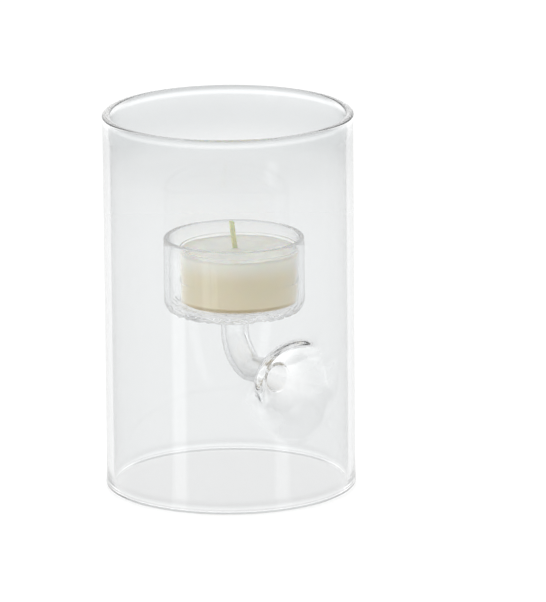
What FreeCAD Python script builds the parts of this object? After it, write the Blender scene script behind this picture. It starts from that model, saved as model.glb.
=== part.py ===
import FreeCAD, Part
import math
import os

# Tealight holder: an open glass cylinder with a candle cup hung inside it on a hollow bent stem.
# The stem flares into a funnel that is fused round a hole in the cylinder's wall.
# Millimetres. Z is up, and the origin is the centre of the cylinder's base.

# Outer cylinder
CYLINDER_D = 80.0
CYLINDER_H = 122.0
CYLINDER_WALL = 2.3
TOP_RIM_ROUND = 1.1        # both edges of the top rim are melted nearly to a half circle
BASE_RIM_ROUND = 0.85      # the base keeps a narrow flat ring between its rounded edges

# Side mouth: its direction seen from above, measured from -Y towards +X
MOUTH_AZIMUTH = 33.0
MOUTH_Z = 40.5
MOUTH_HOLE_R = 13.2        # hole in the wall, filled by the funnel's lip

# Bent stem
STEM_D = 8.8
STEM_GLASS = 1.4
BEND_R = 11.6
STEM_OFFSET = 2.9          # from the cylinder's axis, towards the mouth

# Funnel, bowl shaped. Each point is (distance from the cylinder's axis along the mouth, radius)
BORE_THROAT = (27.8, 4.2)      # where the stem's bore opens into the bowl
BORE_BULGE = (31.9, 9.2)
BORE_LIP = (37.4, 12.1)
LIP_MIDDLE = (38.9, 12.5)
LIP_END = (40.4, 13.5)         # just outside the cylinder's surface, which trims it
OUTER_THROAT = (26.8, 5.5)
OUTER_BULGE = (30.4, 10.3)
OUTER_SEAL = (35.3, MOUTH_HOLE_R)

# Candle cup
CUP_D = 45.0
CUP_H = 24.3
CUP_WALL = 1.7
CUP_FLOOR = 2.4
CUP_HEEL_R = 4.0
CUP_INNER_HEEL_R = 1.8
CUP_RIM_ROUND = 0.8
CUP_BASE_Z = 58.0

# Tealight: a standard one, standing off centre in the cup
TEALIGHT_D = 38.0
TEALIGHT_H = 18.5
TEALIGHT_SHIFT = 1.55      # towards +X from the cup's axis
SHELL_WALL = 0.4
SHELL_FLOOR = 0.5
SHELL_HEEL_R = 1.8
WAX_GAP = 0.05             # between the wax and the shell's wall
WAX_TOP = 17.2             # above the shell's underside
MENISCUS_H = 0.35
MENISCUS_W = 1.2
MOUND_R = 2.6
MOUND_H = 0.7

# Wick and its metal foot
WICK_D = 1.7
WICK_TOP = 26.8            # above the shell's underside
WICK_LEAN = 2.7            # sideways, towards -X, at its tip
WICK_KNEE = 4.2            # height where it starts to lean
FOOT_R = 6.5
FOOT_T = 0.3
COLLAR_R = 1.35
COLLAR_BORE_R = 0.9
COLLAR_H = 3.2

UP = FreeCAD.Vector(0, 0, 1)
AZ = math.radians(MOUTH_AZIMUTH)
OUT = FreeCAD.Vector(math.sin(AZ), -math.cos(AZ), 0)      # the mouth's direction
ACROSS = UP.cross(OUT)                                    # level, square to the mouth
MOUTH_AXIS = FreeCAD.Vector(0, 0, MOUTH_Z)                # a point on the mouth's centre line
CUP_AXIS = OUT * STEM_OFFSET
SHELL_BASE_Z = CUP_BASE_Z + CUP_FLOOR
TEALIGHT_AXIS = CUP_AXIS + FreeCAD.Vector(TEALIGHT_SHIFT, 0, SHELL_BASE_Z)
FULL_TURN = 360.0


def line(a, b):
    return Part.LineSegment(a, b).toShape()


def turned(edges, point, axis):
    """Solid made by turning a closed outline about an axis."""
    face = Part.Face(Part.Wire(edges))
    solid = Part.makeSolid(face.revolve(point, axis, FULL_TURN).Shells[0])
    if solid.Volume < 0:
        solid.reverse()
    return solid


def upright_outline(points, centre):
    """Closed straight-sided outline from (radius, height) pairs, beside an upright axis."""
    corners = [centre + FreeCAD.Vector(r, 0, z) for r, z in points]
    return [line(a, b) for a, b in zip(corners, corners[1:] + corners[:1])]


def rim_edges(solid, z, radii):
    """The round edges at a height whose radius is in the list."""
    found = []
    for edge in solid.Edges:
        curve = edge.Curve
        if not isinstance(curve, Part.Circle):
            continue
        if abs(curve.Center.z - z) < 0.01 and any(abs(curve.Radius - r) < 0.01 for r in radii):
            found.append(edge)
    return found


def glass_cylinder():
    """Open tube with melted rims and the hole that takes the funnel's lip."""
    outer_r = CYLINDER_D / 2
    inner_r = outer_r - CYLINDER_WALL
    tube = Part.makeCylinder(outer_r, CYLINDER_H).cut(Part.makeCylinder(inner_r, CYLINDER_H))
    radii = [outer_r, inner_r]
    tube = tube.makeFillet(TOP_RIM_ROUND, rim_edges(tube, CYLINDER_H, radii))
    tube = tube.makeFillet(BASE_RIM_ROUND, rim_edges(tube, 0, radii))
    hole = Part.makeCylinder(MOUTH_HOLE_R, CYLINDER_D, MOUTH_AXIS, OUT)
    return tube.cut(hole)


def funnel_point(place):
    """A point of the funnel's outline: along the mouth's direction, then out from its centre line."""
    along, radius = place
    return OUT * along + FreeCAD.Vector(0, 0, MOUTH_Z + radius)


def funnel_curve(start, middle, end):
    return Part.Arc(funnel_point(start), funnel_point(middle), funnel_point(end)).toShape()


def funnel_lines(places):
    corners = [funnel_point(place) for place in places]
    return [line(a, b) for a, b in zip(corners, corners[1:])]


def funnel_solid():
    """The flared end of the stem, as far as the cylinder's outer surface."""
    start = STEM_OFFSET + BEND_R
    beyond = CYLINDER_D
    edges = funnel_lines([(beyond, 0), (start, 0), (start, STEM_D / 2), OUTER_THROAT])
    edges.append(funnel_curve(OUTER_THROAT, OUTER_BULGE, OUTER_SEAL))
    edges += funnel_lines([OUTER_SEAL, (beyond, MOUTH_HOLE_R), (beyond, 0)])
    body = turned(edges, MOUTH_AXIS, OUT)
    body = body.common(Part.makeCylinder(CYLINDER_D / 2, CYLINDER_H))

    bore_r = STEM_D / 2 - STEM_GLASS
    edges = funnel_lines([(beyond, 0), (start, 0), (start, bore_r), BORE_THROAT])
    edges.append(funnel_curve(BORE_THROAT, BORE_BULGE, BORE_LIP))
    edges.append(funnel_curve(BORE_LIP, LIP_MIDDLE, LIP_END))
    edges += funnel_lines([LIP_END, (beyond, LIP_END[1]), (beyond, 0)])
    return body.cut(turned(edges, MOUTH_AXIS, OUT))


def stem_length(radius):
    """The stem's upright run and its bend, as a rod of one radius."""
    drop_end_z = MOUTH_Z + BEND_R
    upright = Part.makeCylinder(radius, CUP_BASE_Z - drop_end_z, CUP_AXIS + UP * drop_end_z)
    circle = Part.Circle(CUP_AXIS + UP * drop_end_z, UP, radius).toShape()
    bend_centre = CUP_AXIS + OUT * BEND_R + UP * drop_end_z
    bend = Part.Face(Part.Wire(circle)).revolve(bend_centre, ACROSS * -1, 90)
    return upright, bend


def stem_tube():
    """Hollow stem: down from the cup, round a bend, and out to the wall as a funnel."""
    upright, bend = stem_length(STEM_D / 2)
    bore_upright, bore_bend = stem_length(STEM_D / 2 - STEM_GLASS)
    pieces = [bend.cut(bore_bend), funnel_solid()]
    tube = upright.cut(bore_upright).multiFuse(pieces)
    return tube.removeSplitter()


def candle_cup():
    """Flat-bottomed cup with rounded heels and a melted rim, closed over the stem's end."""
    outer_r = CUP_D / 2
    inner_r = outer_r - CUP_WALL
    centre = CUP_AXIS + UP * CUP_BASE_Z
    cup = Part.makeCylinder(outer_r, CUP_H, centre)
    cup = cup.makeFillet(CUP_HEEL_R, rim_edges(cup, CUP_BASE_Z, [outer_r]))
    space = Part.makeCylinder(inner_r, CUP_H, centre + UP * CUP_FLOOR)
    space = space.makeFillet(CUP_INNER_HEEL_R, rim_edges(space, SHELL_BASE_Z, [inner_r]))
    cup = cup.cut(space)
    return cup.makeFillet(CUP_RIM_ROUND, rim_edges(cup, CUP_BASE_Z + CUP_H, [outer_r, inner_r]))


def shell_space():
    """The space inside the tealight's shell, open upwards."""
    inner_r = TEALIGHT_D / 2 - SHELL_WALL
    space = Part.makeCylinder(inner_r, TEALIGHT_H, TEALIGHT_AXIS + UP * SHELL_FLOOR)
    heel = rim_edges(space, SHELL_BASE_Z + SHELL_FLOOR, [inner_r])
    return space.makeFillet(SHELL_HEEL_R - SHELL_WALL, heel)


def tealight_shell():
    """Thin clear plastic shell that holds the wax."""
    outer_r = TEALIGHT_D / 2
    shell = Part.makeCylinder(outer_r, TEALIGHT_H, TEALIGHT_AXIS)
    shell = shell.makeFillet(SHELL_HEEL_R, rim_edges(shell, SHELL_BASE_Z, [outer_r]))
    return shell.cut(shell_space())


def wick_sustainer():
    """Thin metal foot with a crimped collar, on the shell's floor."""
    base = TEALIGHT_AXIS + UP * SHELL_FLOOR
    foot = Part.makeCylinder(FOOT_R, FOOT_T, base)
    foot = foot.fuse(Part.makeCylinder(COLLAR_R, COLLAR_H, base))
    foot = foot.cut(Part.makeCylinder(COLLAR_BORE_R, COLLAR_H, base))
    return foot.removeSplitter()


def wick():
    """Cotton wick: upright in its collar, then leaning a little."""
    radius = WICK_D / 2
    base = TEALIGHT_AXIS + UP * SHELL_FLOOR
    knee = TEALIGHT_AXIS + UP * WICK_KNEE
    tip = TEALIGHT_AXIS + FreeCAD.Vector(-WICK_LEAN, 0, WICK_TOP)
    upright = Part.makeCylinder(radius, (knee - base).Length, base)
    leaning = Part.makeCylinder(radius, (tip - knee).Length, knee, tip - knee)
    cord = upright.multiFuse([Part.makeSphere(radius, knee), leaning])
    return cord.removeSplitter()


def wax(wick_solid, foot_solid):
    """Wax fill with a raised edge at the shell's wall and a small mound round the wick."""
    edge_r = TEALIGHT_D / 2 - SHELL_WALL - WAX_GAP
    slope = WICK_LEAN / (WICK_TOP - WICK_KNEE)
    wick_x = -slope * (WAX_TOP - WICK_KNEE)
    outline = [(0, SHELL_FLOOR), (edge_r, SHELL_FLOOR), (edge_r, WAX_TOP + MENISCUS_H),
               (edge_r - MENISCUS_W, WAX_TOP), (0, WAX_TOP)]
    fill = turned(upright_outline(outline, TEALIGHT_AXIS), TEALIGHT_AXIS, UP)
    heel = rim_edges(fill, SHELL_BASE_Z + SHELL_FLOOR, [edge_r])
    fill = fill.makeFillet(SHELL_HEEL_R - SHELL_WALL, heel)
    mound_base = TEALIGHT_AXIS + FreeCAD.Vector(wick_x, 0, WAX_TOP)
    fill = fill.fuse(Part.makeCone(MOUND_R, WICK_D / 2, MOUND_H, mound_base))
    return fill.cut(wick_solid).cut(foot_solid).removeSplitter()


def main():
    os.makedirs("parts", exist_ok=True)
    wick_solid = wick()
    foot_solid = wick_sustainer()
    nodes = {
        "glass_cylinder": glass_cylinder(),
        "stem_tube": stem_tube(),
        "candle_cup": candle_cup(),
        "tealight_shell": tealight_shell(),
        "wax": wax(wick_solid, foot_solid),
        "wick": wick_solid,
        "wick_sustainer": foot_solid,
    }
    for name, shape in nodes.items():
        box = shape.BoundBox
        print(name, "solids", len(shape.Solids), "valid", shape.isValid(), "volume", round(shape.Volume, 1),
              "z", round(box.ZMin, 2), round(box.ZMax, 2))
        shape.exportStep(f"parts/{name}.step")


main()
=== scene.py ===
# %% [markdown]
# # A glass tealight holder
#
# The real object is one piece of lampworked glass with a candle standing in it. A cylinder, open at both
# ends, has a hole blown in its side. A hollow stem starts there as a funnel, bends upwards, and carries a
# small cup. The looks are built here round the packed CAD model, which stays the authority for every size
# and place.

# %% Load the fixed frame
import math

import bmesh
import bpy
import numpy as np
from mathutils import Matrix, Vector, noise


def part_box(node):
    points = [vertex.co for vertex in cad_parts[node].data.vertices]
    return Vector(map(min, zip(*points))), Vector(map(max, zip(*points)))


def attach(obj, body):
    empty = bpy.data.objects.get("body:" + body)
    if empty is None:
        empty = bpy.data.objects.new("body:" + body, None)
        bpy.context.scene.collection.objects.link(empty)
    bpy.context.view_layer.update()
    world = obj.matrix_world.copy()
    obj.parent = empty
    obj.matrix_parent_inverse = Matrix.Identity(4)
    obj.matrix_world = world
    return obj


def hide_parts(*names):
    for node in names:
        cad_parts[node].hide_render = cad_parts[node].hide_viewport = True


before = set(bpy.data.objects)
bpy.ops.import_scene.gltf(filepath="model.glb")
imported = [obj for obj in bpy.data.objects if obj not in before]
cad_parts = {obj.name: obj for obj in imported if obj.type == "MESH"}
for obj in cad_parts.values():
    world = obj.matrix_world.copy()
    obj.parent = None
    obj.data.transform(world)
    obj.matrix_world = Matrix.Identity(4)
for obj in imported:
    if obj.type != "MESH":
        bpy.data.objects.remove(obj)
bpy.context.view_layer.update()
MM = 0.001
print("nodes:", sorted(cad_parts))

# %% [markdown]
# ## Sizes read from the frame
#
# Blender never decides a size here. Radii and heights come from the boxes of the CAD nodes. A box can't
# tell how thick the glass is, how edges are rounded, or where the mouth is, so those are written down as
# the CAD has them.


# %% Measure the CAD nodes
def round_node(name):
    """Centre, radius, lowest and highest point of a node that was turned about an upright axis."""
    low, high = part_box(name)
    middle = (low + high) / 2
    return Vector((middle.x, middle.y, 0)), (high.x - low.x) / 2, low.z, high.z


_, CYLINDER_R, _, CYLINDER_TOP = round_node("glass_cylinder")
CUP_AXIS, CUP_R, CUP_BASE, CUP_TOP = round_node("candle_cup")
CANDLE_AXIS, SHELL_R, SHELL_BASE, SHELL_TOP = round_node("tealight_shell")
_, _, WAX_BASE, _ = round_node("wax")
WICK_LOW, WICK_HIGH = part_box("wick")

WALL = 2.3 * MM
MOUTH_Z = 40.5 * MM
MOUTH_AZIMUTH = math.radians(33)
UP = Vector((0, 0, 1))
OUT = Vector((math.sin(MOUTH_AZIMUTH), -math.cos(MOUTH_AZIMUTH), 0))
ACROSS = UP.cross(OUT)
print(f"cylinder {2000 * CYLINDER_R:.1f} x {1000 * CYLINDER_TOP:.1f} mm, cup {2000 * CUP_R:.1f} mm across")

# %% [markdown]
# ## Camera
#
# A product shot of glass uses a long lens from well back, so that the two rims look almost alike. The
# camera stands a little above the holder and is aimed beside it, which puts the holder left of the middle.
# It is also tilted by half a degree, as a hand-set tripod is.

# %% Set up the camera
CAMERA_AWAY = 2.6
CAMERA_RISE = math.radians(14.4)
CAMERA_ROLL = math.radians(-0.5)
CAMERA_LENS = 486
LOOKED_AT = Vector((0, 0, 0.060))
AIM_BESIDE = Vector((0.0139, 0, -0.0002))


def add_camera():
    eye = bpy.data.cameras.new("studio_camera")
    eye.lens = CAMERA_LENS
    eye.sensor_width = 36
    eye.clip_start, eye.clip_end = 0.05, 50
    camera = bpy.data.objects.new("studio_camera", eye)
    bpy.context.scene.collection.objects.link(camera)
    back = Vector((0, -math.cos(CAMERA_RISE), math.sin(CAMERA_RISE)))
    camera.location = LOOKED_AT + back * CAMERA_AWAY
    sight = camera.location - (LOOKED_AT + AIM_BESIDE)
    camera.rotation_mode = "QUATERNION"
    turn = sight.to_track_quat("Z", "Y") @ Matrix.Rotation(CAMERA_ROLL, 3, "Z").to_quaternion()
    camera.rotation_quaternion = turn
    bpy.context.scene.camera = camera
    return camera


camera = add_camera()
print("camera at", [round(c, 3) for c in camera.location])

# %% [markdown]
# ## Shader sums as plain Python
#
# Node trees are easier to read as expressions. `Wire` wraps an output socket, so `1 - mask * 0.5` adds the
# Math nodes it needs. `Tree.node` makes any other node: its type, then its settings, then what its sockets
# get.


# %% A socket that takes part in sums
class Wire:
    """One output socket. The usual operators make Math nodes from it."""

    def __init__(self, tree, socket):
        self.tree, self.socket = tree, socket

    def math(self, operation, *values):
        return self.tree.node("ShaderNodeMath", {"operation": operation}, dict(enumerate(values)))

    def __add__(self, other):
        return self.math("ADD", self, other)

    def __radd__(self, other):
        return self.math("ADD", other, self)

    def __sub__(self, other):
        return self.math("SUBTRACT", self, other)

    def __rsub__(self, other):
        return self.math("SUBTRACT", other, self)

    def __mul__(self, other):
        return self.math("MULTIPLY", self, other)

    def __rmul__(self, other):
        return self.math("MULTIPLY", other, self)

    def __truediv__(self, other):
        return self.math("DIVIDE", self, other)

    def __rtruediv__(self, other):
        return self.math("DIVIDE", other, self)

    def __pow__(self, other):
        return self.math("POWER", self, other)

    def __rpow__(self, other):
        return self.math("POWER", other, self)

    def __abs__(self):
        return self.math("ABSOLUTE", self)


print("sums a Wire can do: + - * / **, abs() and math()")


# %% A node tree written from top to bottom
class Tree:
    """A node tree that is written from top to bottom."""

    def __init__(self, owner):
        owner.use_nodes = True
        self.nodes, self.links = owner.node_tree.nodes, owner.node_tree.links
        self.nodes.clear()

    def node(self, kind, settings=None, inputs=None, output=0):
        made = self.nodes.new(kind)
        for name, value in (settings or {}).items():
            if name == "stops":
                self.set_stops(made.color_ramp, value)
            else:
                setattr(made, name, value)
        for name, value in (inputs or {}).items():
            if isinstance(value, Wire):
                self.links.new(value.socket, made.inputs[name])
            else:
                made.inputs[name].default_value = value
        return Wire(self, made.outputs[output]) if made.outputs else made

    def set_stops(self, ramp, stops):
        while len(ramp.elements) < len(stops):
            ramp.elements.new(1.0)
        for element, (place, colour) in zip(ramp.elements, stops):
            element.position, element.color = place, colour

    def mix(self, factor, first, second):
        """Colour mix: first where the factor is 0, second where it is 1."""
        return self.node("ShaderNodeMix", {"data_type": "RGBA"}, {0: factor, 6: first, 7: second}, 2)

    def ramp(self, value, start, end):
        """Smooth step of a value: 0 at the start, 1 at the end."""
        return self.node("ShaderNodeMapRange", {"interpolation_type": "SMOOTHSTEP"},
                         {"Value": value, "From Min": start, "From Max": end})

    def place(self):
        """Place on the object, in its own metres."""
        return self.node("ShaderNodeTexCoord", None, None, "Object")

    def axis(self, name):
        """One of the three numbers of the place: X, Y or Z."""
        return self.node("ShaderNodeSeparateXYZ", None, {0: self.place()}, name)

    def surface(self, shader):
        self.node("ShaderNodeOutputMaterial", None, {"Surface": shader})


def new_material(name):
    material = bpy.data.materials.new(name)
    return material, Tree(material)


print("Tree knows:", [name for name in vars(Tree) if not name.startswith("__")])

# %% [markdown]
# ## Light table
#
# Clear glass has no colour of its own: what shows is the room, bent and mirrored by the glass. Here it
# stands on a glowing light table, which is lit from below and so leaves no real shadow. Its glow is dimmed
# under the glass as a painted shadow, and raised in a ring round it as a painted pool of light. Two brighter
# strips lie in front, and the wall mirrors them as two faint upright bands. From behind they would be seen
# through the glass as white wedges, so they only glow for light that some surface has already mirrored
# once, which the Light Path node can tell.

# %% Glow of the table
# The glow is lower under the glass as a painted shadow, and higher in a ring round it as a painted pool of
# light.
PAINTED_SHADOW_GLOW, PAINTED_POOL_GLOW, GLOW_FAR = 0.46, 0.56, 0.52     # under the glass, round it, far off
NEAR_FROM, NEAR_FULL = 34 * MM, 46 * MM                # distances where one glow passes into the next
FAR_FROM, FAR_FULL = 0.30, 0.50
STRIP_TURN, STRIP_HALF, STRIP_SOFT = 49.0, 6.5, 1.0    # degrees from straight ahead, half width, blur
STRIP_FOCUS = 22 * MM                                  # how far in front of the middle the strips point
STRIP_START, START_BLUR, END_BLUR = 42 * MM, 10 * MM, 40 * MM
LEFT_STRIP, LEFT_END = 1.20, 0.36
RIGHT_STRIP, RIGHT_END = 1.02, 0.17


def grey(value):
    return (value, value, value, 1)


def table_glow(tree):
    """Share of full glow over the table: a painted shadow under the glass, a painted pool of light round it,
    and two brighter strips in front.
    """
    away = tree.node("ShaderNodeVectorMath", {"operation": "LENGTH"}, {0: tree.place()}, "Value")
    x, y = tree.axis("X"), tree.axis("Y") + STRIP_FOCUS
    turn = (x / y).math("ARCTANGENT", x / y) * (180 / math.pi)
    # Painted shadow under the glass, painted pool of light round it.
    near = tree.mix(tree.ramp(away, NEAR_FROM, NEAR_FULL), grey(PAINTED_SHADOW_GLOW), grey(PAINTED_POOL_GLOW))
    glow = tree.mix(tree.ramp(away, FAR_FROM, FAR_FULL), near, grey(GLOW_FAR))
    mirrored = tree.node("ShaderNodeLightPath", None, None, "Glossy Depth")
    mirrored = mirrored.math("GREATER_THAN", mirrored, 0.5)      # the depth is a whole number
    front = mirrored * y.math("LESS_THAN", y, 0.0) * tree.ramp(away, STRIP_START, STRIP_START + START_BLUR)
    for side, brightness, end in ((1, LEFT_STRIP, LEFT_END), (-1, RIGHT_STRIP, RIGHT_END)):
        inside = tree.ramp(abs(turn - side * STRIP_TURN), STRIP_HALF + STRIP_SOFT, STRIP_HALF - STRIP_SOFT)
        strip = front * inside * tree.ramp(away, end + END_BLUR, end)
        glow = tree.mix(strip, glow, grey(brightness))
    return glow


print("strips at", STRIP_TURN, "degrees to the left and right, up to", LEFT_END, "and", RIGHT_END, "m out")

# %% Light table
FLOOR_HALF = 4.0
FLOOR_SHADE, FLOOR_GLOW = 0.05, 0.85
FLOOR_GLOSS = 1.12                 # a low index of refraction: the table mirrors the glass only faintly


def add_floor():
    mesh = bpy.data.meshes.new("studio_floor")
    corners = [(x * FLOOR_HALF, y * FLOOR_HALF, 0) for x, y in ((-1, -1), (1, -1), (1, 1), (-1, 1))]
    mesh.from_pydata(corners, [], [(0, 1, 2, 3)])
    floor = bpy.data.objects.new("studio_floor", mesh)
    bpy.context.scene.collection.objects.link(floor)
    material, tree = new_material("white_acrylic")
    grain = tree.node("ShaderNodeTexNoise", None, {"Scale": 9.0, "Detail": 2.0})
    tree.surface(tree.node("ShaderNodeBsdfPrincipled", None, {
        "Base Color": grey(FLOOR_SHADE), "Roughness": 0.06 + grain * 0.04, "IOR": FLOOR_GLOSS,
        "Emission Color": table_glow(tree), "Emission Strength": 2 * FLOOR_GLOW}))
    mesh.materials.append(material)


add_floor()
print("light table:", 2 * FLOOR_HALF, "m square")

# %% [markdown]
# ## Room
#
# The room is dim, because dim places in the room are what draws dark lines into the edges of glass. Three
# soft panels light it: a wide one at the back, one at the front left and one overhead, which lights the top
# of the wax. They are glows of the world and not objects, so nothing stands in the way of any view. A ray
# has to cross many faces of nested glass before it gets out, and each path that is cut short turns black,
# so the number of bounces is high.

# %% Room with light panels
LIGHT_BOUNCES = 72
ROOM_DARK = 0.30
BACK_LIGHT = 1.1
FRONT_LIGHT = 1.15
TOP_LIGHT = 0.95
PANELS = [  # direction, cosines where the panel ends and where it is full, brightness
    (Vector((0.0, 1.0, 0.25)), 0.35, 0.75, BACK_LIGHT),
    (Vector((-0.62, -0.62, 0.55)), 0.60, 0.86, FRONT_LIGHT),
    (Vector((0.0, 0.15, 1.0)), 0.80, 0.90, TOP_LIGHT),
]


def set_room():
    world = bpy.data.worlds.new("studio_room")
    bpy.context.scene.world = world
    tree = Tree(world)
    way = tree.node("ShaderNodeTexCoord", None, None, "Generated")
    colour = (ROOM_DARK, ROOM_DARK, ROOM_DARK * 1.02, 1)
    for toward, edge, full, brightness in PANELS:
        cosine = tree.node("ShaderNodeVectorMath", {"operation": "DOT_PRODUCT"},
                           {0: way, 1: toward.normalized()}, "Value")
        colour = tree.mix(tree.ramp(cosine, edge, full), colour, grey(brightness))
    glow = tree.node("ShaderNodeBackground", None, {"Color": colour, "Strength": 1.0})
    tree.node("ShaderNodeOutputWorld", None, {"Surface": glow})


set_room()
bpy.context.scene.view_settings.view_transform = "Standard"
light_paths = bpy.context.scene.cycles
light_paths.max_bounces = light_paths.transmission_bounces = light_paths.glossy_bounces = LIGHT_BOUNCES
light_paths.transparent_max_bounces = 24
print("room:", len(PANELS), "panels,", LIGHT_BOUNCES, "bounces")

# %% [markdown]
# ## Skin of the fused glass
#
# Melted glass has one unbroken skin: from the outside of the wall, round the lip of the funnel and up the
# bore, and from the inside of the wall, over the funnel and the stem to the cup. Booleans leave slivers and
# hard creases along such joints, and glass shows every one. So the skin is laid down ring by ring, always
# with the same number of points, and the rings are bridged with quads.

# %% Ring builder
AROUND = 240                       # points in each ring of funnel, stem and cup
SIDE = AROUND // 4                 # points along one side of the square patch round the mouth
CYLINDER, STEM, CUP = 0, 1, 2
PART_NAMES = {CYLINDER: "cylinder_glass", STEM: "stem_glass", CUP: "cup_glass"}
PART_NODES = {CYLINDER: "glass_cylinder", STEM: "stem_tube", CUP: "candle_cup"}


class Skin:
    """Points and faces, laid down ring by ring. Each face remembers its part of the glass."""

    def __init__(self):
        self.points, self.faces, self.parts = [], [], []

    def ring(self, points):
        start = len(self.points)
        self.points.extend(Vector(p) for p in points)
        return list(range(start, len(self.points)))

    def face(self, corners, part):
        self.faces.append(tuple(corners))
        self.parts.append(part)

    def bridge(self, first, second, part):
        count = len(first)
        for k in range(count):
            after = (k + 1) % count
            self.face((first[k], first[after], second[after], second[k]), part)

    def tube(self, rings, part):
        for first, second in zip(rings, rings[1:]):
            self.bridge(first, second, part)

    def close(self, ring, centre, part):
        middle = self.ring([centre])[0]
        for k in range(len(ring)):
            self.face((ring[k], ring[(k + 1) % len(ring)], middle), part)


skin = Skin()
ring_turns = [math.radians(-45) + math.tau * k / AROUND for k in range(AROUND)]
print("points in each ring:", AROUND)


# %% Curves
def bezier(a, b, c, d, count):
    """Points of a cubic curve from a to d, pulled by b and c."""
    t = np.linspace(0, 1, count)[:, None]
    a, b, c, d = (np.array(p, float) for p in (a, b, c, d))
    return (1 - t) ** 3 * a + 3 * (1 - t) ** 2 * t * b + 3 * (1 - t) * t ** 2 * c + t ** 3 * d


def soft_least(a, b, blend):
    """The lesser of two lengths, with the corner between them rounded over a blend length."""
    near = max(blend - abs(a - b), 0.0) / blend
    return min(a, b) - near * near * blend / 4


print("a corner between two equal lengths of 1 is cut back by", 1 - soft_least(1.0, 1.0, 1.0))

# %% [markdown]
# ## Wall of the cylinder
#
# The wall is a plain tube of drawn glass whose two cut edges were melted round in the flame, which leaves a
# slight bead. Its grid has a square window round the mouth. Rings that turn from the square to a circle
# fill the window, so that the quads flow into the funnel.

# %% Rows and columns of the wall
WINDOW = 22 * MM                   # half the side of the square window round the mouth
WINDOW_TURN = WINDOW / CYLINDER_R
FAR_COLUMNS, LOW_ROWS, HIGH_ROWS = 188, 8, 18
wall_turns = list(np.linspace(-WINDOW_TURN, WINDOW_TURN, SIDE + 1))
wall_turns += list(np.linspace(WINDOW_TURN, math.tau - WINDOW_TURN, FAR_COLUMNS + 1)[1:-1])
low_rows = list(np.linspace(WALL / 2, MOUTH_Z - WINDOW, LOW_ROWS + 1)[:-1])
window_rows = list(np.linspace(MOUTH_Z - WINDOW, MOUTH_Z + WINDOW, SIDE + 1))
high_rows = list(np.linspace(MOUTH_Z + WINDOW, CYLINDER_TOP - WALL / 2, HIGH_ROWS + 1)[1:])
wall_rows = low_rows + window_rows + high_rows
FIRST_ROW, LAST_ROW = LOW_ROWS, LOW_ROWS + SIDE
print("wall:", len(wall_turns), "columns,", len(wall_rows), "rows")

# %% Two sides of the wall
RIM_BEAD, BEAD_REACH = 0.22 * MM, 2.2 * MM


def on_wall(radius, turn, height):
    return OUT * (radius * math.cos(turn)) + ACROSS * (radius * math.sin(turn)) + UP * height


def bead_at(height):
    """How far the melted edges stand proud of the wall."""
    from_edge = min(height, CYLINDER_TOP - height)
    return RIM_BEAD * math.exp(-((from_edge / BEAD_REACH) ** 2))


def wall_side(radius, outward):
    """One side of the wall. Gives its lowest and highest ring and the window's square ring."""
    rows = []
    for i, height in enumerate(wall_rows):
        in_window = FIRST_ROW < i < LAST_ROW
        r = radius + outward * bead_at(height)
        row = [None if in_window and 0 < j < SIDE else skin.ring([on_wall(r, turn, height)])[0]
               for j, turn in enumerate(wall_turns)]
        rows.append(row)
    for i in range(len(rows) - 1):
        for j in range(len(wall_turns)):
            after = (j + 1) % len(wall_turns)
            if FIRST_ROW <= i < LAST_ROW and j < SIDE:
                continue
            skin.face((rows[i][j], rows[i][after], rows[i + 1][after], rows[i + 1][j]), CYLINDER)
    square = [rows[FIRST_ROW + k][SIDE] for k in range(SIDE)]
    square += [rows[LAST_ROW][SIDE - k] for k in range(SIDE)]
    square += [rows[LAST_ROW - k][0] for k in range(SIDE)]
    square += [rows[FIRST_ROW][k] for k in range(SIDE)]
    return rows[0], rows[-1], square


outer_low, outer_high, outer_square = wall_side(CYLINDER_R, 1)
inner_low, inner_high, inner_square = wall_side(CYLINDER_R - WALL, -1)
print("window ring:", len(outer_square), "points")

# %% From the square window to a circle
CIRCLE = 19.6 * MM
SQUARE_SHARES = (0.8, 0.6, 0.4, 0.2, 0.0)


def patch_rings(radius, square):
    """Rings on the wall between the square window and the circle that the funnel starts from."""
    rings = [square]
    for step in SQUARE_SHARES:
        points = []
        for k, turn in enumerate(ring_turns):
            corner = skin.points[square[k]]
            square_turn = math.atan2(corner.dot(ACROSS), corner.dot(OUT))
            circle_turn = math.asin(CIRCLE * math.cos(turn) / radius)
            circle_height = MOUTH_Z + CIRCLE * math.sin(turn)
            points.append(on_wall(radius, step * square_turn + (1 - step) * circle_turn,
                                  step * corner.z + (1 - step) * circle_height))
        rings.append(skin.ring(points))
    return rings


outer_rings = patch_rings(CYLINDER_R, outer_square)
inner_rings = patch_rings(CYLINDER_R - WALL, inner_square)
skin.tube(outer_rings, CYLINDER)
skin.tube(inner_rings, CYLINDER)
print("circle round the mouth:", round(2000 * CIRCLE, 1), "mm across")

# %% Melted rims
RIM_STEPS = 12


def melted_rim(outer_ring, inner_ring, top):
    """Half-round edge between the two sides of the wall."""
    middle_r = CYLINDER_R - WALL / 2
    half = WALL / 2
    rings = [outer_ring]
    for step in range(1, RIM_STEPS):
        angle = math.pi * step / RIM_STEPS
        radius = middle_r + (half + bead_at(0)) * math.cos(angle)
        rise = half * math.sin(angle)
        height = CYLINDER_TOP - half + rise if top else half - rise
        rings.append(skin.ring([on_wall(radius, turn, height) for turn in wall_turns]))
    rings.append(inner_ring)
    skin.tube(rings, CYLINDER)


melted_rim(outer_low, inner_low, top=False)
melted_rim(outer_high, inner_high, top=True)
print("wall:", len(skin.faces), "faces")

# %% [markdown]
# ## Funnel
#
# Where the stem meets the wall it was blown out into a bowl and melted into the hole. Above the bend of the
# stem the two skins meet in a narrow round lip, level with the curve of the wall. Lower down the glass
# flowed while it was soft, and the bowl opens like a trumpet that lies down on the wall and has no edge.
# Both shapes are outlines turned about the mouth's axis, with the same number of points, so any ring can be
# a mix of the two. The share of each changes smoothly with the turn round the mouth.

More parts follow.
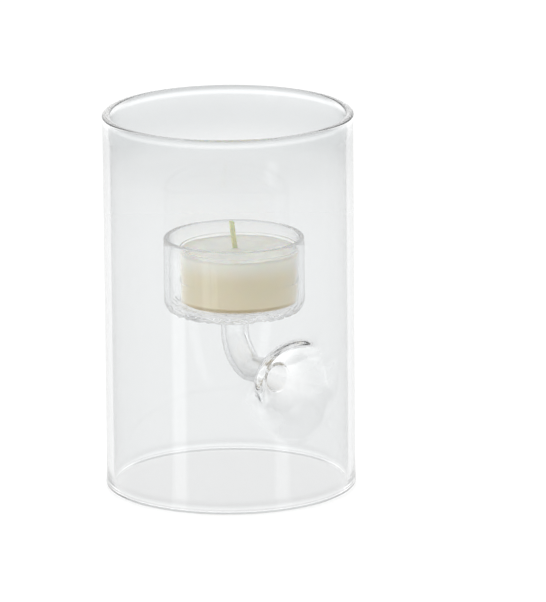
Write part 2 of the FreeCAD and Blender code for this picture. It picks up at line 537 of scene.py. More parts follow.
# %% Bowl and trumpet outlines, as (distance along the mouth's axis, radius) in millimetres
TUBE_RINGS, BOWL_RINGS, FLARE_RINGS = 11, 26, 14
TUBE_START = 14.5
FLARE_RADIUS = 19.0
FLARE_SPACING = 1.3


def bowl_outline(throat, pull_a, pull_b, lip, tube_r):
    """Straight tube, then the bowl, then the same slope on past the wall."""
    start = np.linspace((TUBE_START, tube_r), throat, TUBE_RINGS + 1)[:-1]
    bowl = bezier(throat, pull_a, pull_b, lip, BOWL_RINGS)
    slope = (bowl[-1] - bowl[-2]) / (bowl[-1][1] - bowl[-2][1])
    growth = (FLARE_RADIUS - lip[1]) * (np.arange(1, FLARE_RINGS + 1) / FLARE_RINGS) ** FLARE_SPACING
    return np.vstack([start, bowl, bowl[-1] + slope * growth[:, None]]) * MM


def trumpet_outline(bowl, wall_r, pull_a, pull_b):
    """The same tube, flaring gently until it lies on the wall."""
    throat = bowl[TUBE_RINGS] / MM
    flare = bezier(throat, pull_a, pull_b, (wall_r / MM, FLARE_RADIUS), BOWL_RINGS + FLARE_RINGS)
    return np.vstack([bowl[:TUBE_RINGS], flare * MM])


INNER_R = CYLINDER_R - WALL
STEM_R, BORE_R = 4.4 * MM, 3.0 * MM
bore_bowl = bowl_outline((27.8, 4.2), (29.3, 8.2), (33.8, 11.2), (37.3, 12.1), BORE_R / MM)
outer_bowl = bowl_outline((26.6, 5.4), (27.6, 9.2), (31.0, 11.9), (35.0, 13.4), STEM_R / MM)
bore_trumpet = trumpet_outline(bore_bowl, CYLINDER_R, (30.6, 6.8), (40.0, 10.5))
outer_trumpet = trumpet_outline(outer_bowl, INNER_R, (29.0, 8.2), (37.7, 12.0))
print("outlines:", len(bore_bowl), "points each")

# %% Where the lip is sharp, and the marks of the flow
SHARP_TURN, SHARP_HALF, SHARP_FADE = 118, 39, 34       # degrees round the mouth: middle, half width, fade
FLOW_DEPTH = 0.45 * MM
FLOW_MIDDLE, FLOW_SPREAD = 12.0, 6.5                   # radii in millimetres
FLOW_GRAIN = 190


def softness(turn):
    """0 above the bend of the stem, where the lip is sharp. 1 lower down, where the glass flowed."""
    aside = abs((math.degrees(turn) - SHARP_TURN + 180) % 360 - 180)
    share = min(1.0, max(0.0, (aside - SHARP_HALF) / SHARP_FADE))
    return share * share * (3 - 2 * share)


def flow_marks(radius, turn):
    """Shallow dents where the glass flowed. They fade out towards the throat and the wall."""
    here = Vector((radius * math.cos(turn), radius * math.sin(turn), 0))
    fade = max(0.0, 1 - ((radius / MM - FLOW_MIDDLE) / FLOW_SPREAD) ** 2)
    return FLOW_DEPTH * fade * noise.noise(here * FLOW_GRAIN + Vector((3.7, 1.3, 0.4)))


print("lip fully sharp over", 2 * SHARP_HALF, "degrees")

# %% Rings of the funnel
LIP_BLEND, FILLET_BLEND = 2.6 * MM, 1.6 * MM
BLEND_FROM_R = 6 * MM
STEM_DEPTH = 11.0 * MM


def funnel_rings(sharp, soft, wall_r, blend):
    """Rings from the stem to the wall, each point a mix of the sharp and the soft outline for its turn."""
    rings = []
    for (along, radius), (soft_along, soft_radius) in zip(sharp, soft):
        points = []
        for turn in ring_turns:
            share = softness(turn)
            r = radius + (soft_radius - radius) * share
            sideways = r * math.cos(turn)
            wall_along = math.sqrt(wall_r ** 2 - sideways ** 2)
            sharp_reach = soft_least(wall_along, along, blend) if radius > BLEND_FROM_R else along
            at_wall = max(0.0, 1 - (wall_r - soft_along) / STEM_DEPTH)
            soft_reach = soft_along - (wall_r - wall_along) * at_wall
            reach = sharp_reach + (soft_reach - sharp_reach) * share
            reach -= share * flow_marks(r, turn)
            points.append(OUT * reach + ACROSS * sideways + UP * (MOUTH_Z + r * math.sin(turn)))
        rings.append(skin.ring(points))
    return rings


bore_rings = funnel_rings(bore_bowl, bore_trumpet, CYLINDER_R, LIP_BLEND)
funnel_outer_rings = funnel_rings(outer_bowl, outer_trumpet, INNER_R, FILLET_BLEND)
BORE_SEAM = OUTER_SEAM = TUBE_RINGS + BOWL_RINGS + 2
skin.tube(bore_rings[:BORE_SEAM + 1], STEM)
skin.tube(bore_rings[BORE_SEAM:] + [outer_rings[-1]], CYLINDER)
skin.tube(funnel_outer_rings[:OUTER_SEAM + 1], STEM)
skin.tube(funnel_outer_rings[OUTER_SEAM:] + [inner_rings[-1]], CYLINDER)
print("funnel:", len(bore_rings) + len(funnel_outer_rings), "rings")

# %% [markdown]
# ## Bent stem
#
# The stem is ordinary tubing, softened and bent by hand, so it swells a little in the bend. The rings are
# carried round the bend's centre, and the same points go on into the cup, which keeps the joint under the
# cup seamless.

# %% Bend
BEND_R = 11.6 * MM
BEND_STEPS = 30
BEND_TOP = MOUTH_Z + BEND_R
STEM_SWELL = 0.25 * MM


def stem_ring(centre, toward, radius):
    return skin.ring([centre + (ACROSS * math.cos(turn) + toward * math.sin(turn)) * radius
                      for turn in ring_turns])


def bend_rings(radius, swell):
    centre = CUP_AXIS + OUT * BEND_R + UP * (MOUTH_Z + BEND_R)
    rings = []
    for step in range(1, BEND_STEPS + 1):
        angle = math.pi / 2 * step / BEND_STEPS
        toward = UP * math.cos(angle) + OUT * math.sin(angle)
        r = radius + swell * math.sin(2 * angle) ** 2
        rings.append(stem_ring(centre - toward * BEND_R, toward, r))
    return rings


outer_bend = bend_rings(STEM_R, STEM_SWELL)
bore_bend = bend_rings(BORE_R, STEM_SWELL)
print("bend:", 2 * BEND_STEPS, "rings")

# %% Upright run, up to the weld under the cup
WELD_R, WELD_STEPS = 2.2 * MM, 8
BORE_END = CUP_BASE - 0.5 * MM
BORE_DOME, DOME_STEPS = 2 * MM, 8


def cup_ring(radius, height):
    return stem_ring(CUP_AXIS + UP * height, OUT, radius)


upright = [cup_ring(STEM_R, h) for h in np.linspace(BEND_TOP, CUP_BASE - WELD_R, 6)[1:]]
weld = []
for step in range(1, WELD_STEPS + 1):
    angle = math.pi / 2 * step / WELD_STEPS
    weld.append(cup_ring(STEM_R + WELD_R * (1 - math.cos(angle)), CUP_BASE - WELD_R * (1 - math.sin(angle))))
skin.tube([funnel_outer_rings[0]] + outer_bend + upright + weld, STEM)

bore_upright = [cup_ring(BORE_R, h) for h in np.linspace(BEND_TOP, BORE_END - BORE_DOME, 5)[1:]]
for step in range(1, DOME_STEPS):
    angle = math.pi / 2 * step / DOME_STEPS
    bore_upright.append(cup_ring(BORE_R * math.cos(angle), BORE_END - BORE_DOME * (1 - math.sin(angle))))
skin.tube([bore_rings[0]] + bore_bend + bore_upright, STEM)
skin.close(bore_upright[-1], CUP_AXIS + UP * BORE_END, STEM)
print("stem reaches z", round(1000 * CUP_BASE, 1), "mm")

# %% [markdown]
# ## Candle cup
#
# The cup's floor was pressed against a tool while it was soft, and the tool left short dents along the
# heel. They are real dents in the mesh, because clear glass shows a dent by bending what lies behind it,
# which a bump map can't do from the side. Between the dents the glass bulges out by no more than 0.2 mm, so
# the cup keeps its size.

# %% Cup outline
CUP_WALL, CUP_FLOOR = 1.7 * MM, 2.4 * MM
HEEL_R, INNER_HEEL_R = 4.0 * MM, 1.8 * MM
FLOOR_CENTRE_R = 0.5 * MM          # the innermost ring of the floor, closed by a point


def arc(centre, radius, start, end, steps):
    """(radius, height) points on a circular arc, end points included, angles in degrees."""
    angles = np.radians(np.linspace(start, end, steps + 1))
    return [(centre[0] + radius * math.cos(a), centre[1] + radius * math.sin(a)) for a in angles]


cup_outline = [(r, CUP_BASE) for r in np.linspace(STEM_R + WELD_R, CUP_R - HEEL_R, 12)[1:-1]]
cup_outline += arc((CUP_R - HEEL_R, CUP_BASE + HEEL_R), HEEL_R, -90, 0, 22)
cup_outline += [(CUP_R, h) for h in np.linspace(CUP_BASE + HEEL_R, CUP_TOP - CUP_WALL / 2, 10)[1:-1]]
cup_outline += arc((CUP_R - CUP_WALL / 2, CUP_TOP - CUP_WALL / 2), CUP_WALL / 2, 0, 180, 10)
inner_r, floor_z = CUP_R - CUP_WALL, CUP_BASE + CUP_FLOOR
cup_outline += [(inner_r, h) for h in np.linspace(CUP_TOP - CUP_WALL / 2, floor_z + INNER_HEEL_R, 10)[1:-1]]
cup_outline += arc((inner_r - INNER_HEEL_R, floor_z + INNER_HEEL_R), INNER_HEEL_R, 0, -90, 8)
cup_outline += [(r, floor_z) for r in np.linspace(inner_r - INNER_HEEL_R, FLOOR_CENTRE_R, 12)[1:]]


print("cup outline:", len(cup_outline), "points")

# %% Dents of the tool, and the cup's rings
DENT_DEPTH, BULGE_MOST = 1.0 * MM, 0.2 * MM
DENTS_R, DENTS_RISE, DENTS_REACH = CUP_R - 2.8 * MM, 0.7 * MM, 2.0 * MM
DENT_LENGTH, DENT_WIDTH = 2.4 * MM, 1.1 * MM
DENTS_BELOW = floor_z - 0.2 * MM   # only the outside has rings lower than this


def tool_dents(point):
    """Short dents that follow the heel, deepest where the cup's floor turns up into its wall."""
    aside = point - CUP_AXIS
    radius, turn = math.hypot(aside.x, aside.y), math.atan2(aside.y, aside.x)
    rise = point.z - CUP_BASE
    from_heel = math.hypot(radius - DENTS_R, rise - DENTS_RISE)
    along = Vector((math.cos(turn), math.sin(turn), 0)) * (CUP_R / DENT_LENGTH)
    dent = noise.noise(along + UP * ((rise - radius) / DENT_WIDTH))
    return DENT_DEPTH * math.exp(-((from_heel / DENTS_REACH) ** 2)) * dent


cup_rings = [weld[-1]]
for radius, height in cup_outline:
    ring = cup_ring(radius, height)
    if height < DENTS_BELOW:
        for index in ring:
            point = skin.points[index]
            away = Vector((point.x - CUP_AXIS.x, point.y - CUP_AXIS.y, 0)).normalized()
            skin.points[index] = point + (UP - away) * max(-BULGE_MOST, tool_dents(point))
    cup_rings.append(ring)
skin.tube(cup_rings, CUP)
skin.close(cup_rings[-1], CUP_AXIS + UP * floor_z, CUP)
print("fused glass:", len(skin.points), "points,", len(skin.faces), "faces")

# %% [markdown]
# ## Glass
#
# Lampworked glass bends light a little less than window glass does, so its IOR is 1.474. Glass looks
# darkest where one looks along it, since light has the longest way through there: Layer Weight's Facing,
# raised to a power, mixes a dark tint in. The wall also has a light grey tint, and painted shade makes it
# darker towards the top, more on the back half than the front. Each melted edge works as a narrow lens,
# and a painted dark line and a painted highlight in the tint strengthen what it shows. At the far left and
# right of the wall those painted rings fade into clear glass, and near each melted edge the wall is painted
# light where it is looked along. The stem is clear, and the bowl of the funnel is painted lighter where it
# is looked along. The cup is clear but for a thin painted line of grey shade on its rim. Tints are used and
# not a volume, because a volume would leak where two pieces share a seal.

# %% Tints, as shares of the light let through
WALL_TINT = (0.868, 0.876, 0.878, 1)
# Painted shade: near the top the wall is darker, more on the back half than the front half.
FRONT_TOP_PAINTED_SHADE, BACK_TOP_PAINTED_SHADE = (0.82, 0.83, 0.832, 1), (0.735, 0.75, 0.755, 1)
CLEAR_TINT = (0.998, 1.0, 1.0, 1)
# Near a melted edge, glass looked along is painted light instead of dark.
WALL_EDGE, PAINTED_LIGHT_RIM_EDGE = (0.03, 0.032, 0.032, 1), (0.95, 0.955, 0.955, 1)
# In the bowl of the funnel, glass looked along is painted lighter than in the stem.
STEM_EDGE, PAINTED_LIGHT_BOWL_EDGE = (0.02, 0.022, 0.022, 1), (0.45, 0.455, 0.455, 1)
# The cup's last tint is a thin painted line of grey shade along the top of its rim.
CUP_EDGE, CUP_PAINTED_RIM_LINE = (0.06, 0.063, 0.063, 1), (0.72, 0.73, 0.73, 1)
WALL_POWER, STEM_POWER, CUP_POWER = 5.0, 2.3, 4.5
RING_REACH = 5 * MM
# Painted dark lines and painted highlights along each melted edge, on top of what the edge shows as a lens.
TOP_PAINTED_RINGS = [                      # (place from the edge as a share of RING_REACH, strength)
    (0.00, 0.66), (0.06, 0.68), (0.18, 0.90), (0.30, 1.12),
    (0.40, 1.25), (0.48, 1.25), (0.60, 1.02), (1.00, 1.00)]
BASE_PAINTED_RINGS = [
    (0.00, 1.00), (0.08, 0.76), (0.18, 0.80), (0.30, 1.14),
    (0.42, 1.14), (0.56, 0.94), (0.68, 0.95), (0.90, 1.00)]
# The painted shade near the top comes in between these heights.
PAINTED_SHADE_FROM, PAINTED_SHADE_FULL = 99 * MM, 112 * MM           # heights between which the wall's grey deepens
FRONT_TO_BACK = 8 * MM                                 # where FRONT_TOP_PAINTED_SHADE passes into BACK_TOP_PAINTED_SHADE, either way
SIDE_FROM, SIDE_FULL = 31 * MM, 37 * MM                # distances to either side where the rings fade
RIM_TO, WALL_FROM = 1.5 * MM, 3.0 * MM                 # distances from a melted edge
BOWL_TINT_FROM, BOWL_TINT_FULL = 27 * MM, 34 * MM      # distances out along the mouth's axis
BOWL_EDGE_FROM, BOWL_EDGE_FULL = 24 * MM, 31 * MM
CUP_RING_FROM, CUP_RING_FULL = CUP_TOP - 0.5 * MM, CUP_TOP - 0.2 * MM
print("each melted edge has", len(TOP_PAINTED_RINGS), "stops over", round(RING_REACH / MM), "mm")


# %% Glass finishes
def clear_glass(name, power, tints):
    """Glass that darkens where it is looked along. tints gives its colour head on and edge on."""
    material, tree = new_material(name)
    along = tree.node("ShaderNodeLayerWeight", None, {"Blend": 0.5}, "Facing") ** power
    head_on, edge_on = tints(tree)
    tree.surface(tree.node("ShaderNodeBsdfPrincipled", None, {
        "Base Color": tree.mix(along, head_on, edge_on), "Roughness": 0.0, "IOR": 1.474,
        "Transmission Weight": 1.0}))
    return material


def painted_edge_rings(tree, stops, from_edge):
    """Strength of the painted dark and light rings by distance from a melted edge."""
    return tree.node("ShaderNodeValToRGB", {"stops": [(at, grey(strength)) for at, strength in stops]},
                     {"Fac": from_edge / RING_REACH})


def wall_tints(tree):
    """Grey with painted shade towards the top, and painted dark and light rings along the melted edges. The
    edges' ends are painted light.
    """
    across, depth, height = (tree.axis(name) for name in "XYZ")
    from_edge = CYLINDER_TOP / 2 - abs(height - CYLINDER_TOP / 2)
    # Painted shade near the top, darker on the back half than the front.
    painted_top_shade = tree.mix(tree.ramp(depth, -FRONT_TO_BACK, FRONT_TO_BACK), FRONT_TOP_PAINTED_SHADE, BACK_TOP_PAINTED_SHADE)
    grey_and_painted_shade = tree.mix(tree.ramp(height, PAINTED_SHADE_FROM, PAINTED_SHADE_FULL), WALL_TINT, painted_top_shade)
    top_painted_rings = painted_edge_rings(tree, TOP_PAINTED_RINGS, from_edge)
    base_painted_rings = painted_edge_rings(tree, BASE_PAINTED_RINGS, from_edge)
    rings = tree.mix(height.math("GREATER_THAN", height, CYLINDER_TOP / 2), base_painted_rings, top_painted_rings)
    # At the far left and right the painted rings fade, and there the edges are painted clear.
    side = tree.ramp(abs(across), SIDE_FROM, SIDE_FULL)
    rings = tree.mix(side, rings, grey(1))
    tint = tree.node("ShaderNodeVectorMath", {"operation": "MULTIPLY"}, {0: grey_and_painted_shade, 1: rings})
    # Near a melted edge, glass looked along is painted light.
    off_edge = tree.ramp(from_edge, RIM_TO, WALL_FROM)
    return tree.mix(side * (1 - off_edge), tint, CLEAR_TINT), tree.mix(off_edge, PAINTED_LIGHT_RIM_EDGE, WALL_EDGE)


def stem_tints(tree):
    """Clear along the stem, and the wall's grey in the bowl of the funnel, where glass looked along is
    painted lighter.
    """
    out = tree.node("ShaderNodeVectorMath", {"operation": "DOT_PRODUCT"}, {0: tree.place(), 1: OUT}, "Value")
    return (tree.mix(tree.ramp(out, BOWL_TINT_FROM, BOWL_TINT_FULL), CLEAR_TINT, WALL_TINT),
            tree.mix(tree.ramp(out, BOWL_EDGE_FROM, BOWL_EDGE_FULL), STEM_EDGE, PAINTED_LIGHT_BOWL_EDGE))


def cup_tints(tree):
    """Clear, with a thin painted line of grey shade at the very top of the rim."""
    ring = tree.ramp(tree.axis("Z"), CUP_RING_FROM, CUP_RING_FULL)
    return tree.mix(ring, CLEAR_TINT, CUP_PAINTED_RIM_LINE), CUP_EDGE


def melted_seam():
    material, tree = new_material("melted_seam")
    tree.surface(tree.node("ShaderNodeBsdfTransparent"))
    return material


wall_glass = clear_glass("drawn_wall_glass", WALL_POWER, wall_tints)
lamp_glass = clear_glass("lampworked_glass", STEM_POWER, stem_tints)
cup_glass = clear_glass("pressed_glass", CUP_POWER, cup_tints)
seam = melted_seam()
print("glasses:", [glass.name for glass in (wall_glass, lamp_glass, cup_glass)])

# %% [markdown]
# ## Three pieces of one glass
#
# A glassblower starts from a cylinder, a tube and a cup, so they stay three pieces here, each closed. They
# meet at two seals that can't be seen in melted glass: the seal faces get a fully clear shader, and every
# point keeps the normal that it has in the unbroken skin. The glass casts no shadow, which lets the room
# light the candle inside it.

# %% Skin as one closed mesh
fused = bmesh.new()
fused_points = [fused.verts.new(p) for p in skin.points]
for corners, part in zip(skin.faces, skin.parts):
    face = fused.faces.new([fused_points[c] for c in corners])
    face.material_index = part
bmesh.ops.recalc_face_normals(fused, faces=fused.faces)
fused.normal_update()
fused.verts.index_update()
open_edges = sum(1 for edge in fused.edges if len(edge.link_faces) != 2)
print("open edges in the fused skin:", open_edges)


# %% Split the skin at its seals
def seam_bands():
    """Faces that close the pieces where they were melted together, as lists of skin points."""
    bore, outer = bore_rings[BORE_SEAM], funnel_outer_rings[OUTER_SEAM]
    lip = [(bore[k], bore[(k + 1) % AROUND], outer[(k + 1) % AROUND], outer[k]) for k in range(AROUND)]
    return {CYLINDER: lip, STEM: lip + [tuple(weld[-1])], CUP: [tuple(weld[-1])]}


def glass_piece(part):
    """One closed piece, with the normals of the fused skin and clear faces at its seals."""
    faces = [[v.index for v in face.verts] for face in fused.faces if face.material_index == part]
    seams = [list(face) for face in seam_bands()[part]]
    used = sorted({index for face in faces + seams for index in face})
    place = {index: k for k, index in enumerate(used)}
    mesh = bpy.data.meshes.new(PART_NAMES[part])
    faces_here = [[place[index] for index in face] for face in faces + seams]
    mesh.from_pydata([skin.points[index] for index in used], [], faces_here)
    mesh.materials.append({CYLINDER: wall_glass, STEM: lamp_glass, CUP: cup_glass}[part])
    mesh.materials.append(seam)
    for k, polygon in enumerate(mesh.polygons):
        polygon.use_smooth = k < len(faces)
        polygon.material_index = 0 if k < len(faces) else 1
    work = bmesh.new()
    work.from_mesh(mesh)
    bmesh.ops.recalc_face_normals(work, faces=work.faces)
    work.to_mesh(mesh)
    volume = work.calc_volume(signed=True)
    work.free()
    mesh.normals_split_custom_set_from_vertices([fused_points[index].normal for index in used])
    piece = bpy.data.objects.new(PART_NAMES[part], mesh)
    bpy.context.scene.collection.objects.link(piece)
    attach(piece, "holder")
    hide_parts(PART_NODES[part])
    piece.visible_shadow = False
    print(f"{piece.name}: {len(mesh.polygons)} faces, {volume * 1e6:.2f} ml of glass")
    return piece


glass_pieces = [glass_piece(part) for part in (CYLINDER, STEM, CUP)]
print("pieces of glass:", len(glass_pieces))

# %% [markdown]
# ## Tealight shell
#
# A clear tealight is cast in a thin moulded shell, not an aluminium one, so that the wax itself glows. The
# shell is an outline turned about the candle's axis. Its rim has the small bead that stiffens a thin
# moulding, and a faint ring runs round it where the mould's two heights met.

# %% Turned pieces
TURNED_AROUND = 144


def turned_piece(name, outline, axis, shift=None):
    """Closed solid turned from an outline that starts and ends on the axis. shift may move single points."""
    body = Skin()
    turns = [math.tau * k / TURNED_AROUND for k in range(TURNED_AROUND)]
    rings = []
    for radius, height in outline[1:-1]:
        points = [axis + Vector((radius * math.cos(t), radius * math.sin(t), height)) for t in turns]
        rings.append(body.ring([p + shift(p) for p in points] if shift else points))
    body.tube(rings, 0)
    ends = [axis + UP * outline[0][1], axis + UP * outline[-1][1]]
    for ring, end in zip((rings[0], rings[-1]), ends):
        body.close(ring, end + shift(end) if shift else end, 0)
    return finished_mesh(name, body)


def finished_mesh(name, body):
    mesh = bpy.data.meshes.new(name)
    mesh.from_pydata(body.points, [], body.faces)
    work = bmesh.new()
    work.from_mesh(mesh)
    bmesh.ops.recalc_face_normals(work, faces=work.faces)
    work.to_mesh(mesh)
    loose = sum(1 for edge in work.edges if len(edge.link_faces) != 2)
    work.free()
    mesh.shade_smooth()
    piece = bpy.data.objects.new(name, mesh)
    bpy.context.scene.collection.objects.link(piece)
    print(f"{name}: {len(mesh.polygons)} faces, {loose} open edges")
    return piece


def candle_part(piece, node, material):
    piece.data.materials.append(material)
    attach(piece, "tealight")
    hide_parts(node)
    return piece


print("turned pieces have", TURNED_AROUND, "points round")

# %% Shell of the tealight
SHELL_WALL, SHELL_FLOOR, SHELL_HEEL = 0.4 * MM, 0.5 * MM, 1.8 * MM
BEAD_R, BEAD_INSET, BEAD_FOOT = 0.3 * MM, 0.25 * MM, 0.6 * MM
MOULD_RING_RISE, MOULD_RING_DEPTH, MOULD_RING_WIDTH = 8.0 * MM, 0.09 * MM, 0.18 * MM
MOULD_ROWS = 0.12 * MM             # spacing of the rings of points at the mould ring
CENTRE_R = 2 * MM                  # the innermost ring of a flat end, closed by a point


def wall_heights(low, high):
    """Heights up the shell's wall, close together at the mould ring."""
    ring = [SHELL_BASE + MOULD_RING_RISE + step * MOULD_ROWS for step in range(-3, 4)]
    return list(np.linspace(low, ring[0], 6)[1:-1]) + ring + list(np.linspace(ring[-1], high, 6)[1:-1])


def mould_step(height):
    """How far the wall stands out at a height."""
    return MOULD_RING_DEPTH * math.exp(-(((height - SHELL_BASE - MOULD_RING_RISE) / MOULD_RING_WIDTH) ** 2))


def clear_shell():
    material, tree = new_material("moulded_clear_plastic")
    haze = tree.node("ShaderNodeTexNoise", None, {"Scale": 260.0, "Detail": 3.0})
    tree.surface(tree.node("ShaderNodeBsdfPrincipled", None, {
        "Base Color": (0.985, 0.98, 0.965, 1), "Roughness": haze * 0.05, "IOR": 1.49,
        "Transmission Weight": 1.0}))
    return material


inside_r = SHELL_R - SHELL_WALL
shell_outline = [(0, SHELL_BASE)]
shell_outline += [(r, SHELL_BASE) for r in np.linspace(CENTRE_R, SHELL_R - SHELL_HEEL, 8)[:-1]]
shell_outline += arc((SHELL_R - SHELL_HEEL, SHELL_BASE + SHELL_HEEL), SHELL_HEEL, -90, 0, 8)
outside_heights = wall_heights(SHELL_BASE + SHELL_HEEL, SHELL_TOP - BEAD_FOOT)
shell_outline += [(SHELL_R + mould_step(h), h) for h in outside_heights]
shell_outline += arc((SHELL_R - BEAD_INSET, SHELL_TOP - BEAD_R), BEAD_R, -20, 200, 10)
inside_heights = np.linspace(SHELL_TOP - BEAD_FOOT, SHELL_BASE + SHELL_HEEL, 12)[1:-1]
shell_outline += [(inside_r, h) for h in inside_heights]
inner_heel = SHELL_HEEL - SHELL_WALL
shell_outline += arc((inside_r - inner_heel, SHELL_BASE + SHELL_FLOOR + inner_heel), inner_heel, 0, -90, 6)
shell_outline += [(r, SHELL_BASE + SHELL_FLOOR) for r in np.linspace(inside_r - inner_heel, CENTRE_R, 8)[1:]]
shell_outline += [(0, SHELL_BASE + SHELL_FLOOR)]
shell = turned_piece("tealight_cup", shell_outline, CANDLE_AXIS)
candle_part(shell, "tealight_shell", clear_shell()).visible_shadow = False

# %% [markdown]
# ## Wax
#
# Poured wax climbs the shell's wall, sags a little in the middle as it sets, and makes a small hill where
# it clings to the wick. Light goes a few millimetres into it before it comes out, so it needs subsurface
# scattering: that is what makes wax look warm in the shade. Painted light from above makes its upper part
# paler, and its lower edge is painted amber, for the deeper colour that light takes through the thick edge.

# %% Level of the wax and line of the wick
WAX_LEVEL = SHELL_BASE + 17.2 * MM
WICK_KNEE = SHELL_BASE + 4.2 * MM
WICK_TIP = Vector((WICK_LOW.x + 1.25 * MM, CANDLE_AXIS.y, WICK_HIGH.z - 0.1 * MM))
WICK_ROOT = CANDLE_AXIS + UP * WICK_LOW.z
WICK_BEND = CANDLE_AXIS + UP * WICK_KNEE + Vector((0.4 * MM, 0, 0))


def wick_at(height):
    """Centre of the wick at a height."""
    share = max(0.0, (height - WICK_KNEE) / (WICK_TIP.z - WICK_KNEE))
    if share:
        return WICK_BEND.lerp(WICK_TIP, share)
    return WICK_ROOT.lerp(WICK_BEND, (height - WICK_ROOT.z) / (WICK_KNEE - WICK_ROOT.z))


print("wick leans", round((WICK_TIP.x - WICK_ROOT.x) / MM, 2), "mm")

# %% Shape of the cooled top
MENISCUS, MENISCUS_REACH = 0.35 * MM, 1.3 * MM
HILL_R, HILL_H = 2.4 * MM, 0.85 * MM
RIPPLES = (0.16 * MM, 160), (0.05 * MM, 520)           # (height, grain) of the broad and the fine ripples


def set_surface(point):
    """How cooled wax departs from a flat top: ripples, and a hill at the wick."""
    if point.z < WAX_LEVEL - 0.01 * MM:
        return Vector((0, 0, 0))
    from_wick = (Vector((point.x, point.y, 0)) - Vector((*wick_at(WAX_LEVEL).xy, 0))).length
    hill = HILL_H * math.exp(-((from_wick / HILL_R) ** 2) * 1.6)
    (broad, broad_grain), (fine, fine_grain) = RIPPLES
    ripple = broad * noise.noise(point * broad_grain) + fine * noise.noise(point * fine_grain)
    return UP * (hill + ripple)


print("hill at the wick:", round(HILL_H / MM, 2), "mm high")

# %% Wax finish
CREAM = (0.88, 0.80, 0.56, 1), (0.83, 0.74, 0.49, 1)
# Paler colours: painted light on the upper part of the wax.
PAINTED_TOP_LIGHT = (0.97, 0.95, 0.86, 1), (0.94, 0.92, 0.81, 1)
# Amber: painted shade at the wax's lower edge, for the deeper colour that light takes through its thick
# edge.
PAINTED_AMBER_EDGE = (0.60, 0.46, 0.20, 1), (0.48, 0.35, 0.13, 1)
# The painted light comes in between these shares of the wax's height.
TOP_LIGHT_FROM, TOP_LIGHT_FULL = 0.58, 0.96                      # shares of the wax's height
AMBER_FULL, AMBER_TO = 0.085, 0.125


def wax_material():
    material, tree = new_material("poured_wax")
    place = tree.place()
    cloud = tree.node("ShaderNodeTexNoise", None, {"Vector": place, "Scale": 190.0, "Detail": 4.0})
    bloom = tree.node("ShaderNodeTexNoise", None, {"Vector": place, "Scale": 900.0, "Detail": 2.0})
    rise = (tree.axis("Z") - WAX_BASE) / (WAX_LEVEL - WAX_BASE)
    cream, painted_top_light, painted_amber_colour = (tree.mix(cloud, *pair) for pair in (CREAM, PAINTED_TOP_LIGHT, PAINTED_AMBER_EDGE))
    # Painted light: the wax is paler towards the top.
    body_colour = tree.mix(tree.ramp(rise, TOP_LIGHT_FROM, TOP_LIGHT_FULL), cream, painted_top_light)
    bump = tree.node("ShaderNodeBump", None, {"Strength": 0.12, "Distance": 0.0003, "Height": bloom})
    body = tree.node("ShaderNodeBsdfPrincipled", None, {
        "Base Color": body_colour, "Roughness": 0.34 + 0.12 * cloud, "IOR": 1.44, "Normal": bump,
        "Subsurface Weight": 0.85, "Subsurface Radius": (1.0, 0.72, 0.42), "Subsurface Scale": 0.0028})
    amber = tree.node("ShaderNodeBsdfPrincipled", None, {
        "Base Color": painted_amber_colour, "Roughness": 0.3, "IOR": 1.44})
    # Painted amber shade along the wax's lower edge.
    painted_amber_mask = tree.ramp(rise, AMBER_TO, AMBER_FULL)
    tree.surface(tree.node("ShaderNodeMixShader", None, {0: painted_amber_mask, 1: body, 2: amber}))
    return material


print("amber up to", round(100 * AMBER_TO), "% of the wax's height")

# %% Wax fill
WAX_GAP, WAX_FLOOR_GAP = 0.05 * MM, 0.02 * MM
WAX_CENTRE_R = 0.6 * MM
wax_r, wax_floor = inside_r - WAX_GAP, SHELL_BASE + SHELL_FLOOR + WAX_FLOOR_GAP
wax_outline = [(0, wax_floor)]
wax_outline += [(r, wax_floor) for r in np.linspace(CENTRE_R, wax_r - inner_heel, 8)[:-1]]
wax_outline += arc((wax_r - inner_heel, wax_floor + inner_heel), inner_heel, -90, 0, 8)
wax_outline += [(wax_r, h) for h in np.linspace(wax_floor + inner_heel, WAX_LEVEL + MENISCUS, 14)[1:-1]]
for radius in np.concatenate([np.linspace(wax_r, wax_r - 2 * MENISCUS_REACH, 10),
                              np.linspace(wax_r - 3 * MENISCUS_REACH, WAX_CENTRE_R, 34)]):
    climb = MENISCUS * math.exp(-((wax_r - radius) / MENISCUS_REACH) * 1.8)
    wax_outline.append((radius, WAX_LEVEL + climb))
wax_outline += [(0, WAX_LEVEL)]
wax = turned_piece("wax_fill", wax_outline, CANDLE_AXIS, set_surface)
candle_part(wax, "wax", wax_material())

# %% [markdown]
# ## Wick
#
# The wick is a flat braid of three cotton strands, stiff with wax. Each strand is a thin tube along a path
# that weaves from side to side once for every two times it goes front to back, which is exactly what a
# braid does.

# %% Braided wick
STRANDS, STRAND_R = 3, 0.36 * MM
BRAID_WIDTH, BRAID_DEPTH, BRAID_PITCH = 0.54 * MM, 0.24 * MM, 3.1 * MM
STRAND_SIDES, STRAND_STEPS = 10, 190
STRAND_START, END_STEP, TIP_POINT = 0.2 * MM, 0.1 * MM, 0.03 * MM
TINY = 0.01 * MM                   # a small step up, to find which way a strand runs


def strand_centre(height, strand):
    turn = math.tau * ((height - WICK_ROOT.z) / BRAID_PITCH + strand / STRANDS)
    sway = Vector((BRAID_WIDTH * math.sin(turn), BRAID_DEPTH * math.sin(2 * turn), 0))
    return wick_at(height) + sway


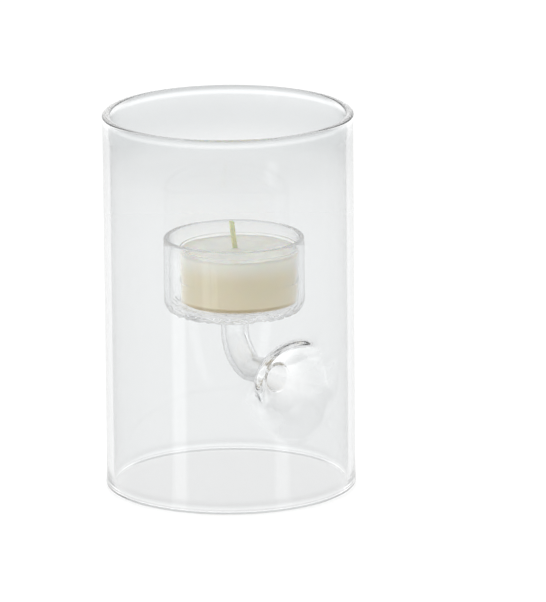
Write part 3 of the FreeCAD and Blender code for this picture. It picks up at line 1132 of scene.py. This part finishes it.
def add_strand(body, strand):
    heights = np.linspace(WICK_ROOT.z + STRAND_START, WICK_TIP.z - END_STEP * strand, STRAND_STEPS)
    rings = []
    for k, height in enumerate(heights):
        here = strand_centre(height, strand)
        way = (strand_centre(height + TINY, strand) - here).normalized()
        side = way.cross(Vector((0, 1, 0))).normalized()
        front = way.cross(side)
        ends = min(1.0, (k + 1.5) / 4, (len(heights) - k + 0.5) / 4)
        thick = STRAND_R * ends * (1 + 0.12 * noise.noise(here * 1500))
        rings.append(body.ring([here + (side * math.cos(a) + front * math.sin(a)) * thick
                                for a in np.linspace(0, math.tau, STRAND_SIDES + 1)[:-1]]))
    body.tube(rings, 0)
    body.close(rings[0], strand_centre(heights[0], strand), 0)
    body.close(rings[-1], strand_centre(heights[-1], strand) + UP * TIP_POINT, 0)


braid = Skin()
for strand in range(STRANDS):
    add_strand(braid, strand)
wick = finished_mesh("braided_wick", braid)


# %% Waxed cotton
def wick_material():
    material, tree = new_material("waxed_cotton")
    place = tree.place()
    fibre = tree.node("ShaderNodeTexWave", {"wave_type": "BANDS", "bands_direction": "DIAGONAL"},
                      {"Vector": place, "Scale": 900.0, "Distortion": 6.0, "Detail": 2.0}, "Fac")
    blotch = tree.node("ShaderNodeTexNoise", None, {"Vector": place, "Scale": 420.0, "Detail": 3.0})
    colour = tree.mix(blotch, (0.97, 0.95, 0.64, 1), (0.90, 0.87, 0.54, 1))
    colour = tree.mix(fibre * 0.35, colour, (0.78, 0.73, 0.44, 1))
    bump = tree.node("ShaderNodeBump", None, {"Strength": 0.5, "Distance": 0.0001, "Height": fibre})
    tree.surface(tree.node("ShaderNodeBsdfPrincipled", None, {
        "Base Color": colour, "Roughness": 0.45 + 0.2 * blotch, "Normal": bump,
        "Subsurface Weight": 0.5, "Subsurface Scale": 0.0008}))
    return material


candle_part(wick, "wick", wick_material())
print("wick finish:", wick.data.materials[0].name)

# %% [markdown]
# ## Wick foot
#
# The pressed metal foot sits under the wax and hardly shows. Its CAD shape is already right, so the node
# stays and only gets a finish: tinned sheet with fine rolling marks.


# %% Tinned sheet
def tinned_sheet():
    material, tree = new_material("tinned_sheet")
    place = tree.place()
    rolling = tree.node("ShaderNodeMapping", None, {"Vector": place, "Scale": (60.0, 2400.0, 60.0)})
    marks = tree.node("ShaderNodeTexNoise", None, {"Vector": rolling, "Scale": 3.0, "Detail": 3.0})
    colour = tree.mix(marks, (0.72, 0.71, 0.68, 1), (0.60, 0.59, 0.56, 1))
    tree.surface(tree.node("ShaderNodeBsdfPrincipled", None, {
        "Base Color": colour, "Metallic": 1.0, "Roughness": 0.22 + 0.2 * marks}))
    return material


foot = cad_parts["wick_sustainer"]
foot.data.materials.clear()
foot.data.materials.append(tinned_sheet())
print("wick foot:", foot.data.materials[0].name)
